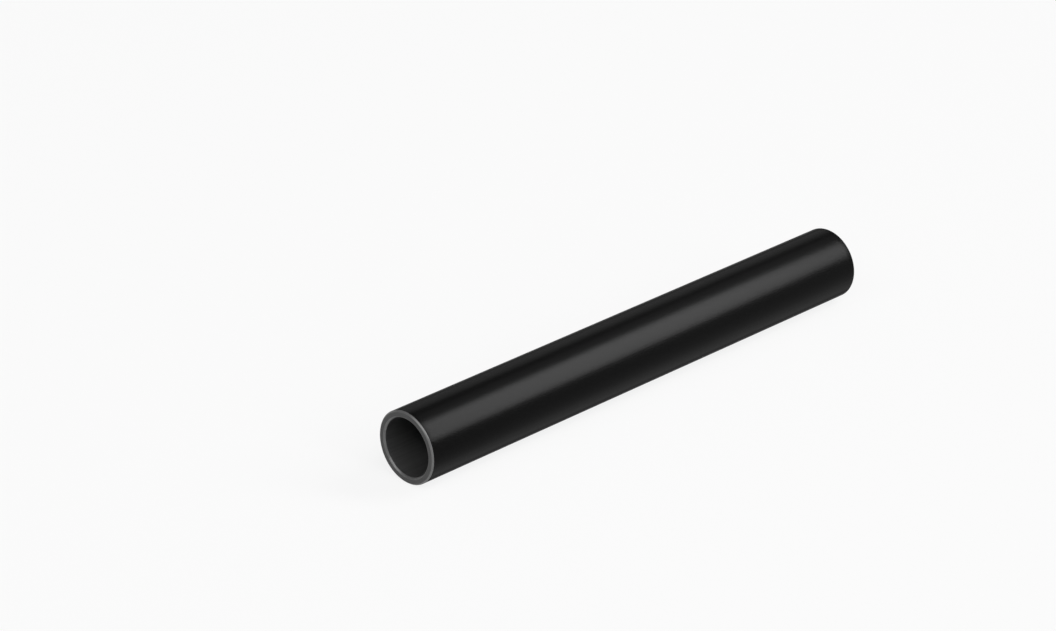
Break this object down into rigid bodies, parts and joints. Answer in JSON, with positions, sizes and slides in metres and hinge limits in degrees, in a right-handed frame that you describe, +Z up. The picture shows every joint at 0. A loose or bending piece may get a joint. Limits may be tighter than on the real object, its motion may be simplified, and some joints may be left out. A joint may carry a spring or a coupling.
{
  "type": "plastic tube",
  "caption": "Short straight length of rigid black plastic tube with a smooth round bore and square-cut ends, their inner and outer edges lightly chamfered.",
  "frame": {"origin": "on the surface the tube lies on, under the middle of its length", "axes": "+X along the tube, +Y across it, +Z up"},
  "size_m": [0.12, 0.015, 0.015],
  "materials": {
    "black_plastic": "smooth satin, with finely sawn end faces"
  },
  "bodies": {
    "root": {"tube": "black_plastic"}
  },
  "joints": []
}
